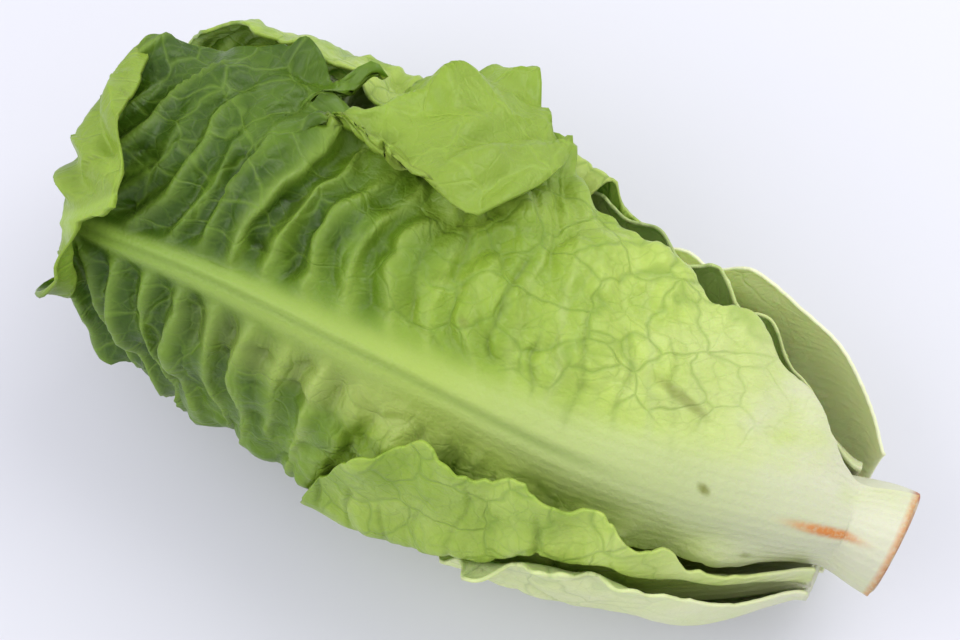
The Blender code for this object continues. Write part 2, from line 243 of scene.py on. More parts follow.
class Fold:
    """A fold across a leaf, from a point towards another, that turns what is to its right outwards.

    It fades in over a length before its first point, and its line bows back by the square of the arc. Rows
    of a leaf from a place on aren't folded."""

    def __init__(self, point, towards, radius, turn, fade=0.01, bow=0.0, until=LENGTH * 2):
        self.point = np.array(point, float)
        self.fade = fade
        self.until = until
        self.bow = bow
        run = np.array(towards, float) - self.point
        self.run = run / np.hypot(*run)
        self.side = np.array((self.run[1], -self.run[0]))
        self.radius = radius
        self.turn = math.radians(turn)

    def apply(self, row, s, across):
        """The place after the fold, how far it stands out, and how much of the turn it has made."""
        s = s + self.bow * across**2
        along = (s - self.point[0]) * self.run[0] + (across - self.point[1]) * self.run[1]
        past = (s - self.point[0]) * self.side[0] + (across - self.point[1]) * self.side[1]
        turn = self.turn * eased(1 + along / self.fade) * (row < self.until)
        angle = np.clip(past / self.radius, 0, turn)
        rest = np.maximum(past - turn * self.radius, 0)
        flat = np.where(past > 0, self.radius * np.sin(angle) + rest * np.cos(turn), past)
        out = np.where(past > 0, self.radius * (1 - np.cos(angle)) + rest * np.sin(turn), 0)
        s = self.point[0] + along * self.run[0] + flat * self.side[0]
        across = self.point[1] + along * self.run[1] + flat * self.side[1]
        return s - self.bow * across**2, across, out, np.where(past > 0, angle / self.turn, 0)


class Leaf:
    """One leaf. Its widths are arcs from its midrib: upper towards greater angles, lower towards less."""

    def __init__(self, name, span, midrib, upper, lower, **more):
        self.name = name
        self.start, self.end = span
        self.midrib = midrib
        self.widths = {1: upper, -1: lower}
        self.tip = more.get("tip", 30.0)
        self.girth = more.get("girth", 1.0)
        self.seat = more.get("seat", ((0, 0), (LENGTH, 0)))
        self.rib = more.get("rib", ((0, 4.0), (60, 3.0), (120, 1.8), (LENGTH, 0.6)))
        self.rib_width = more.get("rib_width", ((0, 8.0), (60, 7.0), (120, 4.5), (LENGTH, 2.5)))
        self.rib_power = more.get("rib_power", 2)
        self.crinkle = more.get("crinkle", 2.0)
        self.spacing = more.get("spacing", 21.0)
        self.phase = more.get("phase", 0.0)
        self.flare = more.get("flare", {1: 2.0, -1: 2.0})
        self.wave = more.get("wave", 2.0)
        self.wave_length = more.get("wave_length", 24.0)
        self.jag = more.get("jag", 1.5)
        self.folds = more.get("folds", ())
        self.ridge = more.get("ridge")
        self.lean = more.get("lean")
        self.lean_from = more.get("lean_from", 0.0)
        self.slit = more.get("slit")
        self.grid = more.get("grid", (90, 60))
        # What only the finer leaf has
        self.blister = more.get("blister", ((0, 0), (40, 0.3), (LENGTH, 0.6)))
        self.swelling = more.get("swelling", 0.5)
        self.depth = more.get("depth", 0.5)
        self.groove = more.get("groove", 0.3)
        self.vein_rise = more.get("vein_rise", 1.0)
        self.vein_tint = more.get("vein_tint", 0.5)
        self.pale = more.get("pale", 0.0)
        self.tooth = more.get("tooth", 0.8)
        self.green = more.get("green", ((0, 0.0), (60, 0.3), (120, 0.5), (LENGTH, 0.7)))
        self.marked = more.get("marked", False)
        self.grain = Grain(sum(map(ord, name)))

    def leaned(self, row, across):
        """The place along the head of a row's point, as the row's outer part leans to the tip or the butt."""
        if not self.lean:
            return row + 0 * across
        return row + through(self.lean, row) * np.maximum(across - self.lean_from, 0)

    def tip_part(self, s):
        """0 up to the round tip, and 1 at the leaf's end."""
        return np.maximum((s - self.end + self.tip) / self.tip, 0)

    def full_width(self, s, side):
        jag = self.jag * np.sin(2 * math.pi * s / JAG_LENGTH + 2.1 * side + self.phase)
        return through(self.widths[side], s) + jag * eased((s - 20) / 40)

    def width(self, s, side):
        """The half width on one side, drawn in to a round tip."""
        return self.full_width(s, side) * np.sqrt(np.maximum(1 - self.tip_part(s) ** 2, 0.004))

    def torn_width(self, s, side):
        """The half width with the teeth and nicks of its edge."""
        ragged = self.grain.swell(s / TOOTH_LENGTH, 3.0 * side)
        ragged = ragged + 0.6 * self.grain.swell(s / 2.1, 7.0 * side)
        nick = self.grain.cells(s / NICK_GAP, np.full_like(s, 11.3 * side))[0]
        tooth = (ragged - 0.8) * self.tooth - 2.2 * self.tooth * np.maximum(0.25 - nick, 0)
        return np.maximum(self.width(s, side) + tooth * eased((s - self.start) / 25), 0.5)

    def columns(self, count):
        """Places across the leaf from -1 to 1, about even in arc, with one on the midrib."""
        halfway = (self.start + self.end) / 2
        low, high = self.full_width(halfway, -1), self.full_width(halfway, 1)
        below = round(count * low / (low + high))
        return np.concatenate([np.linspace(-1, 0, below + 1), np.linspace(0, 1, count - below + 1)[1:]])

    def middle(self, s):
        return np.radians(through(self.midrib, s))

    def turn_radius(self, s):
        return through(GIRTH, s) * self.girth

    def arc(self, s, angle):
        """The arc from the midrib to an angle round the head."""
        turn = (angle - self.middle(s) + math.pi) % (2 * math.pi) - math.pi
        return turn * self.turn_radius(s)

    def clipped(self, s, across):
        return np.clip(across, -self.width(s, -1), self.width(s, 1))

    def seated(self, s, radius):
        """The radius at which the leaf lies: on what is inside it, or at its own seat if that is more."""
        more = through(self.seat, s) - radius
        return radius + 0.5 * (more + np.hypot(more, SEAT_BEND))

    def rise(self, s, across, waved=True):
        """How far the margin stands out. Unwaved, it is the height that no wave of the margin passes."""
        out = np.zeros_like(s)
        for side in (1, -1):
            edge = eased((side * across - self.width(s, side) + MARGIN) / MARGIN) ** 2
            turn = 2 * math.pi * s / self.wave_length + side + self.phase
            swing = 0.5 + 0.5 * np.sin(turn) if waved else 1.0
            fade = eased((s - self.start) / 40) * eased((self.end - s) / 30)
            out = out + edge * (self.flare[side] + self.wave * swing) * fade
        if self.ridge:
            out = out + self.ridge_height(s, across)
        return out

    def ridge_height(self, s, across):
        """A ridge across the leaf, steep on its side towards the butt, along which the blade buckles."""
        line, height = self.ridge
        past = s - through(line, across)
        return through(height, across) * np.exp(-((past / np.where(past > 0, RIDGE_RUN, RIDGE_DROP)) ** 2))

    def thickness(self, s, across, spread=1.0):
        """The blade with its rib, which stands out of the outer face."""
        width = through(self.rib_width, s) * spread + (spread - 1) * 4
        return BLADE + through(self.rib, s) * np.exp(-(np.abs(across / width) ** self.rib_power))

    def wrinkle(self, s, across):
        """The pleats between the side veins, from 0 to the leaf's crinkle."""
        away = np.abs(across)
        lean = s - through(SLANT, s) * away
        pleat = 0.5 - 0.5 * np.cos(2 * math.pi * lean / self.spacing + np.sign(across) + self.phase)
        cross = 0.6 + 0.4 * np.cos(2 * math.pi * away / PLEAT_LENGTH + self.phase)
        return self.crinkle * pleat * cross * eased((away - 4) / 14) * eased((s - 30) / 60)

    def cover(self, s, angle):
        """1 where the leaf lies, and 0 at EASE past its margin."""
        across = self.arc(s, angle)
        side = np.where(across > 0, self.full_width(s, 1), self.full_width(s, -1))
        tip_part = self.tip_part(s)
        share = np.hypot(across / side, tip_part)
        past = np.hypot(across, tip_part * self.tip) * (1 - 1 / np.maximum(share, 0.01))
        return (1 - eased(past / EASE)) * (1 - eased((self.start - s) / BASE_EASE))

    def slanted(self, s, across):
        """A place along the midrib, to which the side veins' slant leads back, with a little stray."""
        away = np.abs(across)
        stray = 9 * self.grain.swell(s / 24, across / 20) + 2.5 * self.grain.swell(s / 7, across / 7 + 9)
        return s - through(SLANT, s) * away + stray + 5 * np.sign(across) + self.phase

    def nearest_vein(self, s, across):
        """How far it is to the nearest side vein, and a random number for that vein."""
        turn = self.slanted(s, across) / VEIN_GAP
        number = np.round(turn)
        strength = self.grain.at(number + 40 * (across > 0), np.full_like(number, 3))[..., 0]
        return np.abs(turn - number) * VEIN_GAP, strength

    def tip_share(self, s):
        """0 on the smooth half of the leaf at the butt, and 1 on the puckered half at the tip."""
        return eased((s - PUCKER_FROM) / PUCKER_RUN)

    def side_vein(self, s, across):
        """The veins that leave the midrib, which are broad ridges in the tip half: 1 on their crests."""
        away = np.abs(across)
        off, strength = self.nearest_vein(s, across)
        width = (1.1 + 0.9 * self.tip_share(s)) * np.clip(1.1 - away / 70, 0.4, 1)
        start = eased((away - through(self.rib_width, s) * 0.6) / 4)
        lasting = 1 - eased((away - 22 - 30 * strength) / 12)
        crest = np.exp(-((off / width) ** 2)) * start * lasting
        return crest * eased((s - 25) / 30) * (0.35 + 0.65 * strength)

    def crease(self, s, across):
        """Thin grooves of uneven length between the side veins, near the midrib: 1 in their bottoms."""
        away = np.abs(across)
        turn = self.slanted(s + 0.5 * VEIN_GAP, across) / VEIN_GAP
        number = np.round(turn)
        value = self.grain.at(number + 40 * (across > 0), np.full_like(number, 11))
        off = np.abs(turn - number) * VEIN_GAP
        first = 3 + 7 * value[..., 0]
        length = 9 + 20 * value[..., 1]
        run = eased((away - first) / 4) * (1 - eased((away - first - length) / 8))
        depth = run * value[..., 2] ** 0.5 * eased((s - 45) / 20)
        return np.exp(-np.abs(off / CREASE_WIDTH) ** 1.5) * depth

    def blade_part(self, s, across):
        """0 on the smooth midrib and the base, and 1 out on the blade."""
        smooth = through(self.rib_width, s) * 0.9
        return eased((np.abs(across) - smooth) / (smooth * 0.8 + 3)) * eased((s - 22) / 45)

    def relief(self, s, across):
        """The fine relief of the outer face, and what its colours go by: net, hollow, vein and crease; the
        net, the hollow and the crease darken the colour as painted shade in the low places.
        """
        sway = 4 * self.grain.swell(s / 11 + 5, across / 11)
        lean = self.slanted(s, across) + sway
        wide, number = self.grain.cells(lean / 9.5, (np.abs(across) + sway) / 11.5 + 20 * (across > 0))
        fine, _ = self.grain.cells(lean / 3.6 + 31, (np.abs(across) + sway) / 4.4 + 40 * (across > 0))
        blade = self.blade_part(s, across)
        tip = self.tip_share(s)
        vein = self.side_vein(s, across)
        crease = self.crease(s, across)
        dome = eased(wide / 0.6) * (0.5 + 0.5 * number) + 0.12 * eased(fine / 0.5)
        # The pockets between the side veins in the tip half; as the hollow they also darken the colour, as
        # painted shade
        pocket = eased(self.nearest_vein(s, across)[0] / (0.5 * VEIN_GAP)) * (0.35 + 0.65 * number)
        pocket = pocket * (1 - eased((np.abs(across) - 24) / 26)) * tip
        swell = self.grain.swell(s / 14 + 3, across / 12 + 3) + 0.35 * self.grain.swell(s / 5, across / 5)
        height = through(self.blister, s) * dome + self.swelling * (swell - 0.7)
        height = height + self.vein_rise * vein * (0.3 + 1.2 * tip)
        height = height - self.depth * pocket - (1.2 - 0.4 * tip) * crease
        # The borders of the blister cells, where the domes sink low; the colour darkens there as painted
        # shade
        net = np.maximum(1 - wide / 0.14, 0.55 * (1 - fine / 0.22))
        middle = np.exp(-((across / RIB_GROOVE_WIDTH) ** 2)) * eased((s - 50) / 30)
        stripe = (0.05 * np.sin(across * 2.6 + 0.03 * s) - self.groove * middle) * (1 - blade)
        net = blade * np.clip(net, 0, 1)
        return blade * height + stripe, net, blade * pocket, vein, np.maximum(crease, middle)


def inner_leaves():
    """The heart's own leaves, each wider and longer than the one inside it."""
    leaves = []
    for k in range(INNER_LEAVES):
        reach = 16 + 17 * k
        depth = 7 + 4.5 * k
        leaf = Leaf(
            f"inner_leaf_{k + 1}",
            (37 - 3.4 * k, 158 + 9 * k),
            ((0, 40 + GOLDEN_ANGLE * k), (LENGTH, 40 + GOLDEN_ANGLE * k)),
            ((0, 6), (60, 0.6 * reach), (100, reach * 0.9), (LENGTH, reach)),
            ((0, 6), (60, 0.6 * reach), (100, reach * 0.9), (LENGTH, reach)),
            girth=0.25 + 0.13 * k,
            seat=tuple((place, share * depth) for place, share in INNER_SEAT),
            rib=((0, 1.8), (60, 1.6), (120, 1.0), (LENGTH, 0.3)),
            rib_width=((0, 5.0), (120, 3.0), (LENGTH, 2.0)),
            crinkle=1.4,
            phase=1.3 * k,
            flare={1: 0.0, -1: 0.0},
            wave=1.0,
            jag=0.8,
            tooth=0.4,
            grid=(70, 44),
            green=((0, 0.0), (60, 0.2), (120, 0.35), (LENGTH, 0.5)),
        )
        leaves.append(leaf)
    return leaves


def outer_leaves():
    """The leaves that show, from the inside out."""
    under = Leaf(
        "under_leaf",
        (20, 196),
        ((0, 185), (LENGTH, 185)),
        ((0, 9), (30, 20), (60, 42), (110, 58), (LENGTH, 56)),
        ((0, 9), (30, 20), (60, 42), (110, 58), (LENGTH, 56)),
        seat=BODY_SEAT,
        phase=0.4,
        flare={1: 0.5, -1: 0.5},
        grid=(140, 100),
        green=((0, 0.0), (60, 0.3), (120, 0.55), (LENGTH, 0.8)),
    )
    back = Leaf(
        "back_leaf",
        (14, 178),
        ((0, 104), (60, 114), (LENGTH, 114)),
        ((0, 10), (30, 26), (60, 40), (110, 46), (LENGTH, 44)),
        ((0, 10), (13, 12), (30, 24), (60, 38), (100, 42), (LENGTH, 40)),
        seat=BODY_SEAT,
        phase=2.2,
        flare={1: 0.5, -1: 4.5},
        wave=3.0,
        wave_length=15.0,
        grid=(260, 130),
        tooth=1.4,
        vein_rise=0.5,
        vein_tint=0.2,
        pale=0.25,
        green=((0, 0.0), (30, 0.15), (60, 0.45), (120, 0.6), (LENGTH, 0.8)),
    )
    top = Leaf(
        "top_leaf",
        (0.8, 215),
        ((0, -30), (46, -36), (120, -37), (160, -40), (190, -48), (LENGTH, -52)),
        (
            ((0, 17), (16, 19), (35, 37), (65, 51), (92, 62), (112, 77), (122, 88), (130, 88), (136, 84))
            + ((141.4, 76), (146.7, 60), (151.9, 50), (158, 62), (165, 57), (173, 60), (182, 58))
            + ((192, 51), (215, 34))
        ),
        (
            ((0, 15), (28, 16), (48, 18), (65, 21), (80, 32), (100, 46), (135, 56), (160, 54))
            + ((178, 43), (188, 29), (196, 12), (204, 3), (215, 2))
        ),
        tip=20.0,
        seat=(
            ((0, 0), (30, 22), (47, 30), (70, 36), (100, 40), (137, 41))
            + ((160, 40), (180, 37), (LENGTH, 31))
        ),
        rib=((0, 1.5), (16, 4.6), (40, 5.0), (90, 4.0), (140, 2.6), (LENGTH, 0.8)),
        rib_width=((0, 9.0), (45, 10.0), (100, 6.0), (150, 4.0), (LENGTH, 2.0)),
        crinkle=3.2,
        phase=0.0,
        flare={1: 1.0, -1: 0.5},
        wave=3.0,
        ridge=(
            ((7, 152), (20, 151), (30, 151), (38, 147), (45, 140)),
            ((4, 0), (14, 3), (34, 6), (43, 4), (52, 0)),
        ),
        lean=(
            ((100, 0), (122, 0.42), (130, 0.62), (136, 0.8), (141.4, 1.1), (146.7, 1.6))
            + ((151.9, 0), (158, -0.8), (170, -0.4), (185, -0.1), (200, 0))
        ),
        lean_from=42.0,
        slit=(146.7, 151.9),
        folds=(
            Fold((140, 43), (122, 86), 3.4, 176, fade=6, until=149),
            Fold((185, -8), (198, 40), 3.6, 152, fade=12, bow=0.004),
        ),
        grid=(280, 176),
        blister=((0, 0), (40, 0.3), (70, 1.3), (110, 1.7), (150, 1.2), (LENGTH, 0.8)),
        swelling=1.6,
        depth=3.0,
        groove=0.5,
        tooth=1.2,
        green=(
            ((0, 0.0), (30, 0.07), (60, 0.3), (90, 0.52), (125, 0.68))
            + ((150, 0.84), (175, 0.95), (LENGTH, 1.0))
        ),
        marked=True,
    )
    tip = Leaf(
        "tip_leaf",
        (40, 203),
        ((0, 110), (LENGTH, 104)),
        ((0, 12), (80, 36), (120, 42), (LENGTH, 36)),
        ((0, 12), (80, 26), (100, 42), (120, 53), (145, 52), (LENGTH, 38)),
        seat=((0, 0), (47, 30), (80, 35), (130, 40), (160, 44), (180, 41), (LENGTH, 28)),
        phase=1.0,
        flare={1: 0.5, -1: 0.0},
        wave=1.0,
        wave_length=30.0,
        grid=(220, 150),
        tooth=1.4,
        vein_rise=0.5,
        vein_tint=0.2,
        green=((0, 0.0), (60, 0.3), (120, 0.4), (LENGTH, 0.47)),
    )
    front = Leaf(
        "front_leaf",
        (14, 122),
        ((0, -112), (LENGTH, -108)),
        ((0, 10), (30, 22), (60, 42), (90, 46), (99, 47), (107, 38), (LENGTH, 34)),
        ((0, 10), (30, 22), (60, 36), (100, 44), (LENGTH, 36)),
        seat=((0, 0), (30, 24), (47, 33), (80, 39), (130, 41), (LENGTH, 36)),
        phase=2.9,
        flare={1: 1.0, -1: 0.5},
        wave=2.5,
        wave_length=19.0,
        tip=16.0,
        grid=(230, 170),
        tooth=1.6,
        vein_rise=0.3,
        vein_tint=0.12,
        depth=0.3,
        green=((0, 0.05), (30, 0.15), (60, 0.4), (90, 0.5), (LENGTH, 0.52)),
    )
    lower_front = Leaf(
        "lower_front_leaf",
        (13, 152),
        ((0, -134), (40, -146), (LENGTH, -148)),
        ((0, 12), (14, 18), (30, 33), (60, 54), (78, 50), (94, 26), (LENGTH, 18)),
        ((0, 12), (30, 22), (60, 30), (110, 32), (LENGTH, 30)),
        seat=((0, 12), (13, 15), (18, 22), (30, 34), (50, 39), (80, 41), (130, 41), (LENGTH, 37)),
        phase=0.9,
        crinkle=1.4,
        flare={1: 0.6, -1: 0.5},
        wave=1.5,
        grid=(180, 120),
        tooth=1.4,
        vein_rise=0.2,
        vein_tint=0.1,
        pale=0.3,
        green=((0, 0.04), (40, 0.12), (80, 0.25), (LENGTH, 0.5)),
    )
    lower_back = Leaf(
        "lower_back_leaf",
        (11, 146),
        ((0, 160), (30, 172), (LENGTH, 174)),
        ((0, 12), (30, 14), (LENGTH, 14)),
        ((0, 14), (14, 30), (30, 50), (50, 62), (80, 56), (LENGTH, 46)),
        seat=(
            ((0, 12), (11, 16), (16, 22), (27, 31), (47, 38))
            + ((70, 41), (100, 42), (137, 42), (LENGTH, 37))
        ),
        rib=((0, 4.5), (60, 4.0), (130, 3.4), (LENGTH, 2.0)),
        rib_width=((0, 9.0), (60, 10.0), (130, 10.0), (LENGTH, 6.0)),
        rib_power=4,
        phase=1.7,
        crinkle=1.2,
        flare={1: 0.5, -1: 1.0},
        wave=1.2,
        grid=(180, 140),
        tooth=0.6,
        vein_rise=0.2,
        vein_tint=0.1,
        # Nearly all pale: partly its own tone, partly painted light in place of the shade on its inner face
        pale=0.95,
        green=((0, 0.04), (40, 0.12), (80, 0.22), (LENGTH, 0.5)),
    )
    return [under, back, tip, top, front, lower_front, lower_back]


LEAVES = inner_leaves() + outer_leaves()


def core_radius(s):
    """The stem, and past its end the bud's hollow."""
    return np.where(s < STEM_LENGTH, through(STEM_RADIUS, s) + GAP / 2, through(BUD_RADIUS, s))


def radius_under(order, s, angle):
    """The radius of what lies inside the leaf at this place in the order."""
    radius = core_radius(s)
    for leaf in LEAVES[:order]:
        across = leaf.clipped(s, leaf.arc(s, angle))
        crinkle = leaf.crinkle * eased((s - 20) / 60)
        depth = leaf.rise(s, across, waved=False) + crinkle + leaf.thickness(s, across, 1.3) + GAP
        radius = radius + leaf.cover(s, angle) * (leaf.seated(s, radius) + depth - radius)
    return radius


def on_floor(height):
    """Heights under the floor come up to it, with a soft bend just above it."""
    bent = (height + FLOOR_EASE) ** 2 / (4 * FLOOR_EASE)
    return np.where(height > FLOOR_EASE, height, np.where(height < -FLOOR_EASE, 0, bent))


def head_points(s, angle, radius):
    """Points in millimetres from a place along the head, an angle round it and a radius."""
    turn = (angle % (2 * math.pi) - math.pi) / SQUASH_SPREAD
    radius = radius * (1 - SQUASH * np.exp(-(turn**2)))
    x = LENGTH / 2 - s
    y = through(AXIS_SIDE, s) + radius * np.sin(angle)
    z = through(AXIS_HEIGHT, s) + radius * np.cos(angle)
    return np.stack([x, y, z], axis=-1)


def grid_normals(points):
    """Unit normals of a grid of points, out of the head on its unfolded part."""
    along = np.gradient(points, axis=0)
    over = np.gradient(points, axis=1)
    normal = np.cross(over, along)
    return normal / np.linalg.norm(normal, axis=-1, keepdims=True)


def leaf_sheet(order):
    """The leaf's two faces as grids of points, and what its colours go by at each point."""
    leaf = LEAVES[order]
    rows, columns = leaf.grid
    run = np.linspace(0, 1, rows + 1)[:, None]
    row = leaf.start + (leaf.end - leaf.start) * (1 - (1 - run) ** ROW_CROWDING)
    part = leaf.columns(columns)[None, :]
    across = np.where(part > 0, part * leaf.torn_width(row, 1), part * leaf.torn_width(row, -1))
    s = leaf.leaned(row, across)
    flat = (s, across)
    relief, net, hollow, vein, crease = leaf.relief(s, across)
    thickness = leaf.thickness(s, across)
    stand = leaf.rise(s, across) + leaf.wrinkle(s, across)
    out = np.zeros_like(s)
    turned = np.zeros_like(s)
    for fold in leaf.folds:
        s, across, more, share = fold.apply(row, s, across)
        out = out + more
        turned = np.maximum(turned, share)
    angle = leaf.middle(s) + across / leaf.turn_radius(s)
    radius = leaf.seated(s, radius_under(order, s, angle)) + stand + out
    smooth = head_points(s, angle, radius)
    if leaf.slit:
        smooth = bridged(smooth, row[:, 0], leaf.slit)
    normal = grid_normals(smooth)
    inner = smooth + normal * relief[..., None]
    outer = smooth + normal * (relief + thickness)[..., None]
    rib_width = through(leaf.rib_width, flat[0])
    facts = {
        "green": through(leaf.green, flat[0]),
        "rib": np.exp(-((flat[1] / (rib_width * 1.1)) ** 4)),
        "vein": np.clip(vein, 0, 1),
        "net": net,
        "hollow": hollow,
        "crease": crease,
        "blade": leaf.blade_part(*flat),
        "turned": turned,
        "along": flat[0] / LENGTH,
    }
    if leaf.marked:
        facts.update(marks_at(*flat))
    return inner, outer, flat, facts


def marks_at(s, across):
    """The rust, the bruises and the light band of the top leaf at each of its points."""
    rim = RIM_STRENGTH * (1 - eased((s - RIM_DEPTH) / RIM_DEPTH))
    return {
        "rust": np.maximum(streaks(RUST_MARKS, s, across), rim),
        "bruise": streaks(BRUISES, s, across),
        "band": through(BAND, s) * np.exp(-(((across - BAND_MIDDLE) / BAND_WIDTH) ** 4)),
    }


def streaks(marks, s, across):
    """How strongly the streaks of a list mark each point of a leaf, from 0 to 1."""
    share = np.zeros_like(s)
    for middle_s, middle_across, slope, length, width, strength in marks:
        along = (s - middle_s) / length
        aside = (across - middle_across - slope * (s - middle_s)) / width
        share = np.maximum(share, strength * np.exp(-((along**2 + aside**2) ** 2)))
    return share


def bridged(points, row, slit):
    """The grid with its rows inside a slit laid straight from one end of the slit to the other."""
    first = np.searchsorted(row, slit[0]) - 1
    last = np.searchsorted(row, slit[1])
    share = np.linspace(0, 1, last - first + 1)[:, None, None]
    points[first:last + 1] = points[first] * (1 - share) + points[last] * share
    return points


def closed_sheet(inner, outer):
    """Vertices and triangles of the closed solid between two grids."""
    rows, columns = inner.shape[:2]
    count = rows * columns
    index = np.arange(count).reshape(rows, columns)
    a, b = index[:-1, :-1].ravel(), index[1:, :-1].ravel()
    c, d = index[1:, 1:].ravel(), index[:-1, 1:].ravel()
    face = np.concatenate([np.stack([a, b, c], 1), np.stack([a, c, d], 1)])
    rim = np.concatenate([index[0, :-1], index[:-1, -1], index[-1, :0:-1], index[:0:-1, 0]])
    after = np.roll(rim, -1)
    near = np.stack([rim, after, after + count], 1)
    far = np.stack([rim, after + count, rim + count], 1)
    faces = np.concatenate([face, face[:, ::-1] + count, near, far])
    return np.concatenate([inner.reshape(-1, 3), outer.reshape(-1, 3)]), faces


def add_object(name, points, faces, facts, finish):
    """A smooth mesh object with one number of each fact at every vertex."""
    mesh = bpy.data.meshes.new(name)
    mesh.vertices.add(len(points))
    mesh.vertices.foreach_set("co", (points * METRE).astype(np.float32).ravel())
    mesh.loops.add(faces.size)
    mesh.loops.foreach_set("vertex_index", faces.astype(np.int32).ravel())
    mesh.polygons.add(len(faces))
    mesh.polygons.foreach_set("loop_start", np.arange(0, faces.size, 3, dtype=np.int32))
    mesh.update(calc_edges=True)
    mesh.validate()
    mesh.shade_smooth()
    for fact, values in facts.items():
        made = mesh.attributes.new(fact, "FLOAT", "POINT")
        made.data.foreach_set("value", values.astype(np.float32).ravel())
    mesh.materials.append(finish)
    made = bpy.data.objects.new(name, mesh)
    bpy.context.collection.objects.link(made)
    return made


class Nodes:
    """A short way to write a material's nodes."""

    def __init__(self, name):
        self.material = bpy.data.materials.new(name)
        self.material.use_nodes = True
        self.tree = self.material.node_tree
        self.shader = self.tree.nodes["Principled BSDF"]

    def add(self, kind, **settings):
        node = self.tree.nodes.new(kind)
        for name, value in settings.items():
            setattr(node, name, value)
        return node

    def link(self, source, target):
        if isinstance(source, (int, float)):
            target.default_value = source
        elif isinstance(source, tuple):
            target.default_value = (*source, 1)
        else:
            self.tree.links.new(source, target)

    def fact(self, name):
        return self.add("ShaderNodeAttribute", attribute_name=name).outputs["Fac"]

    def math(self, operation, *values, clamp=False):
        node = self.add("ShaderNodeMath", operation=operation, use_clamp=clamp)
        for value, target in zip(values, node.inputs):
            self.link(value, target)
        return node.outputs[0]

    def scaled(self, value, share, clamp=False):
        return self.math("MULTIPLY", value, share, clamp=clamp)

    def mix(self, share, low, high):
        node = self.add("ShaderNodeMix", data_type="RGBA")
        self.link(share, node.inputs["Factor"])
        self.link(low, node.inputs[6])
        self.link(high, node.inputs[7])
        return node.outputs[2]

    def ramp(self, value, stops):
        node = self.add("ShaderNodeValToRGB")
        self.link(value, node.inputs["Fac"])
        elements = node.color_ramp.elements
        while len(elements) < len(stops):
            elements.new(0.5)
        for element, (place, colour) in zip(elements, stops):
            element.position = place
            element.color = (*colour, 1)
        return node.outputs["Color"]

    def noise(self, scale, detail=3.0, where=None):
        node = self.add("ShaderNodeTexNoise")
        node.inputs["Scale"].default_value = scale
        node.inputs["Detail"].default_value = detail
        self.link(where or self.place(), node.inputs["Vector"])
        return node.outputs["Fac"]

    def place(self):
        return self.add("ShaderNodeTexCoord").outputs["Object"]

    def flat(self):
        """The place on the leaf laid flat, in millimetres."""
        node = self.add("ShaderNodeCombineXYZ")
        self.link(self.fact("flat_s"), node.inputs["X"])
        self.link(self.fact("flat_across"), node.inputs["Y"])
        return node.outputs["Vector"]

    def warped(self, vector, scale, amount):
        """The vector, moved about by a noise."""
        noise = self.add("ShaderNodeTexNoise")
        noise.inputs["Scale"].default_value = scale
        self.link(vector, noise.inputs["Vector"])
        node = self.add("ShaderNodeVectorMath", operation="MULTIPLY_ADD")
        self.link(noise.outputs["Color"], node.inputs[0])
        node.inputs[1].default_value = (amount, amount, amount)
        self.link(vector, node.inputs[2])
        return node.outputs["Vector"]

    def lines(self, vector, scale, width):
        """1 on the borders of random cells, and 0 from a width away, as a share of a cell."""
        node = self.add("ShaderNodeTexVoronoi", feature="DISTANCE_TO_EDGE")
        node.inputs["Scale"].default_value = scale
        self.link(vector, node.inputs["Vector"])
        return self.math("SUBTRACT", 1.0, self.math("DIVIDE", node.outputs["Distance"], width, clamp=True))

    def bump(self, height, strength, distance):
        node = self.add("ShaderNodeBump")
        node.inputs["Strength"].default_value = strength
        node.inputs["Distance"].default_value = distance
        self.link(height, node.inputs["Height"])
        self.link(node.outputs["Normal"], self.shader.inputs["Normal"])

    def flesh(self, colour, roughness, radius, scale):
        """A moist surface of this colour, which light enters a little way."""
        self.link(colour, self.shader.inputs["Base Color"])
        self.shader.inputs["Roughness"].default_value = roughness
        self.shader.inputs["Subsurface Weight"].default_value = 0.2
        self.shader.inputs["Subsurface Radius"].default_value = radius
        self.shader.inputs["Subsurface Scale"].default_value = scale


def blade_green(nodes, flat):
    """How far the blade's colour is from pale to dark: its own green, mottled, and pushed darker in the
    hollows as painted shade.
    """
    mottle = nodes.scaled(nodes.math("SUBTRACT", nodes.noise(0.07, 4.0, flat), 0.5), 0.35)
    green = nodes.math("ADD", nodes.fact("green"), mottle)
    # Painted shade: the hollows make the colour darker
    return nodes.math("ADD", green, nodes.scaled(nodes.fact("hollow"), 0.3), clamp=True)


def vein_furrows(nodes, flat):
    """The net of thin vein furrows over the blade, coarse and fine, which the bump sinks and which darken the
    colour as painted shade.
    """
    warped = nodes.warped(flat, 0.08, 9.0)
    coarse = nodes.lines(warped, 1 / COARSE_CELL, COARSE_LINE)
    fine = nodes.lines(warped, 1 / FINE_CELL, FINE_LINE)
    return nodes.scaled(nodes.math("MAXIMUM", coarse, nodes.scaled(fine, 0.35)), nodes.fact("blade"))


def top_leaf_colour(nodes, colour, flat):
    """The colour with the light band, the rust and the bruises of the top leaf over it."""
    rust = nodes.scaled(nodes.noise(0.9, 3.0, flat), 1.9, clamp=True)
    colour = nodes.mix(nodes.scaled(nodes.fact("band"), 0.6), colour, BAND_COLOUR)
    colour = nodes.mix(nodes.scaled(nodes.fact("rust"), rust), colour, RUST_COLOUR)
    return nodes.mix(nodes.fact("bruise"), colour, BRUISE_COLOUR)


